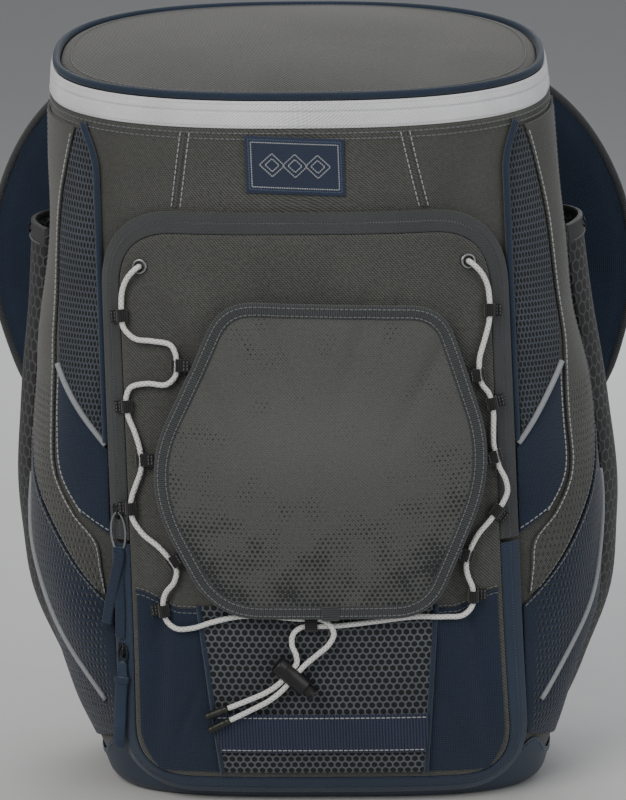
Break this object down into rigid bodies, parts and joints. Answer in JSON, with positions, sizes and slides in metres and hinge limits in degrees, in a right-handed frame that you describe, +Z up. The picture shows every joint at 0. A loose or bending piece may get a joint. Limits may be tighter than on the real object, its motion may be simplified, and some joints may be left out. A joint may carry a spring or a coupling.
{
  "type": "baseball bat backpack",
  "caption": "Backpack for ball players, with a zipped lid, a front pocket under a laced helmet panel, a bat sleeve on each side and padded shoulder straps.",
  "frame": {"origin": "middle of the underside of the bag, on the surface it stands on, its cords left aside", "axes": "+Z up, -Y out of the front pocket, +X to the right as seen from the front"},
  "size_m": [0.4488, 0.2902, 0.4994],
  "materials": {
    "twill": "grey twill cloth",
    "navy": "navy cloth",
    "piping": "navy piping",
    "boot": "coated cloth",
    "white_tape": "white zip tape",
    "binding": "grosgrain",
    "sleeve": "embossed rubbery cloth",
    "webbing": "ribbed webbing",
    "mesh": "open mesh",
    "cord": "braided cord",
    "loop": "flat webbing",
    "moulded": "moulded black",
    "tip": "shrunk tube",
    "steel": "plated",
    "pad": "air mesh",
    "pull": "moulded navy"
  },
  "bodies": {
    "bag": {"main_shell": "twill", "base_boot": "boot", "zip_tape_lower": "white_tape", "zip_tape_upper": "white_tape", "lid_hinge": "twill", "lid_panel": "twill", "lid_piping": "piping", "front_pocket": "twill", "pocket_zipper": "binding", "base_zipper": "navy", "mesh_pocket": "mesh", "mesh_webbing": "webbing", "label_patch": "webbing", "helmet_panel": "twill", "helmet_binding": "binding", "panel_loop_middle": "loop", "cord_lock_barrel": "moulded", "back_pad": "pad", "haul_loop": "webbing", "zip_pull_upper": "pull", "zip_pull_lower": "pull", "front_piping_l": "piping", "side_mesh_l": "mesh", "side_panel_l": "twill", "side_leaf_l": "navy", "side_lower_l": "navy", "bat_sleeve_l": "sleeve", "eyelet_l": "steel", "shock_cord_l": "cord", "cord_tip_l": "tip", "shoulder_strap_l": "navy", "strap_buckle_l": "moulded", "strap_webbing_l": "webbing", "pocket_loop_l1": "loop", "pocket_loop_l2": "loop", "pocket_loop_l3": "loop", "pocket_loop_l4": "loop", "panel_loop_l1": "loop", "panel_loop_l2": "loop", "panel_loop_l3": "loop", "front_piping_r": "piping", "side_mesh_r": "mesh", "side_panel_r": "twill", "side_leaf_r": "navy", "side_lower_r": "navy", "bat_sleeve_r": "sleeve", "eyelet_r": "steel", "shock_cord_r": "cord", "cord_tip_r": "tip", "shoulder_strap_r": "navy", "strap_buckle_r": "moulded", "strap_webbing_r": "webbing", "pocket_loop_r1": "loop", "pocket_loop_r2": "loop", "pocket_loop_r3": "loop", "pocket_loop_r4": "loop", "panel_loop_r1": "loop", "panel_loop_r2": "loop", "panel_loop_r3": "loop"},
    "lock_plunger": {"cord_lock_plunger": "moulded"}
  },
  "joints": [
    {"name": "lock_press", "type": "slide", "parent": "bag", "child": "lock_plunger", "axis": [-0.7492, -0.0109, 0.6623], "range_m": [0, 0.0035], "stiffness_N_per_m": 400}
  ]
}
